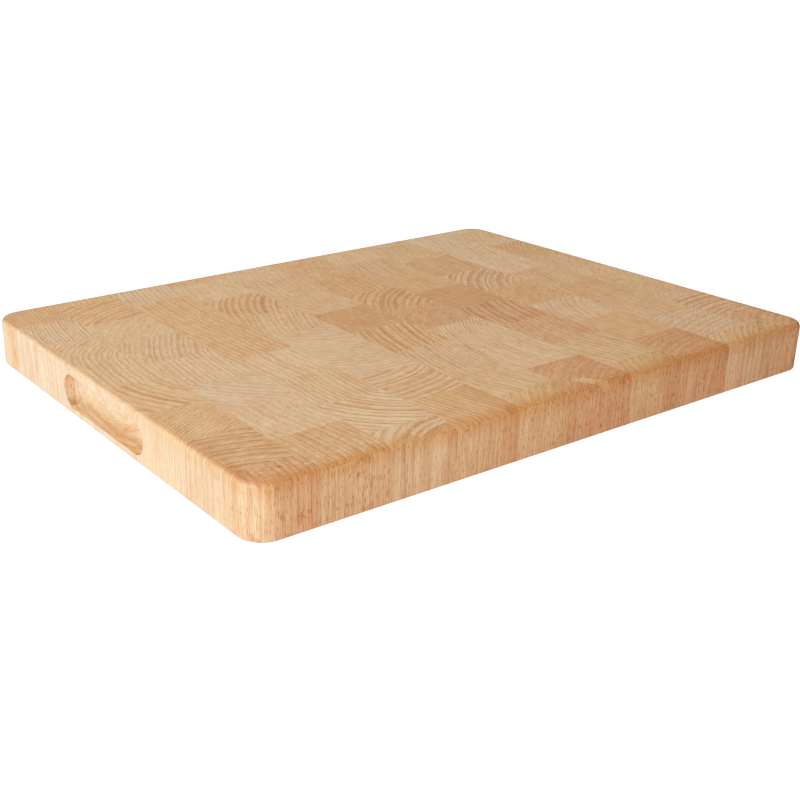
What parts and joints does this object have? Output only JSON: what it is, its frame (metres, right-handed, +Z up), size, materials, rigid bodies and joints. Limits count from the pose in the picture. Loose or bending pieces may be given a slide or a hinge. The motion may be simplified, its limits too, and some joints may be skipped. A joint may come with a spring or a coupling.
{
  "type": "end-grain cutting board",
  "caption": "Rectangular end-grain wooden cutting board glued up from square beech blocks in staggered strips, with rounded edges and a finger grip routed into each short end.",
  "frame": {"origin": "centre of the board's underside", "axes": "+X along the long side, +Y across the board, +Z up through its thickness, towards the cutting face"},
  "size_m": [0.4, 0.3, 0.03],
  "materials": {
    "beech_pale": "sanded smooth, oiled, satin",
    "beech_light": "sanded smooth, oiled, satin",
    "beech_tan": "sanded smooth, oiled, satin",
    "beech_brown": "sanded smooth, oiled, satin",
    "wood_glue": "cured, sanded flush with the wood, dull"
  },
  "bodies": {
    "root": {"strip_01_block_1": "beech_light", "strip_01_block_2": "beech_tan", "strip_01_block_3": "beech_light", "strip_01_block_4": "beech_light", "strip_01_block_5": "beech_tan", "strip_01_block_6": "beech_light", "strip_01_block_7": "beech_pale", "strip_01_block_8": "beech_tan", "strip_01_glue_lines": "wood_glue", "strip_02_front_block": "beech_light", "strip_02_even_blocks": "beech_pale", "strip_02_odd_blocks": "beech_tan", "strip_02_back_block": "beech_brown", "strip_02_glue_lines": "wood_glue", "strip_03_front_block": "beech_pale", "strip_03_even_blocks": "beech_tan", "strip_03_odd_blocks": "beech_light", "strip_03_back_block": "beech_brown", "strip_03_glue_lines": "wood_glue", "strip_04_front_block": "beech_tan", "strip_04_even_blocks": "beech_light", "strip_04_odd_blocks": "beech_pale", "strip_04_back_block": "beech_tan", "strip_04_glue_lines": "wood_glue", "strip_05_front_block": "beech_pale", "strip_05_even_blocks": "beech_light", "strip_05_odd_blocks": "beech_brown", "strip_05_back_block": "beech_light", "strip_05_glue_lines": "wood_glue", "strip_06_front_block": "beech_tan", "strip_06_even_blocks": "beech_pale", "strip_06_odd_blocks": "beech_light", "strip_06_back_block": "beech_brown", "strip_06_glue_lines": "wood_glue", "strip_07_front_block": "beech_pale", "strip_07_even_blocks": "beech_tan", "strip_07_odd_blocks": "beech_pale", "strip_07_back_block": "beech_light", "strip_07_glue_lines": "wood_glue", "strip_08_front_block": "beech_tan", "strip_08_even_blocks": "beech_pale", "strip_08_odd_blocks": "beech_brown", "strip_08_back_block": "beech_tan", "strip_08_glue_lines": "wood_glue", "strip_09_front_block": "beech_light", "strip_09_even_blocks": "beech_tan", "strip_09_odd_blocks": "beech_pale", "strip_09_back_block": "beech_light", "strip_09_glue_lines": "wood_glue", "strip_10_block_1": "beech_tan", "strip_10_block_2": "beech_light", "strip_10_block_3": "beech_tan", "strip_10_block_4": "beech_light", "strip_10_block_5": "beech_pale", "strip_10_block_6": "beech_tan", "strip_10_block_7": "beech_light", "strip_10_block_8": "beech_tan", "strip_10_glue_lines": "wood_glue", "strip_joint_glue_lines": "wood_glue"}
  },
  "joints": []
}
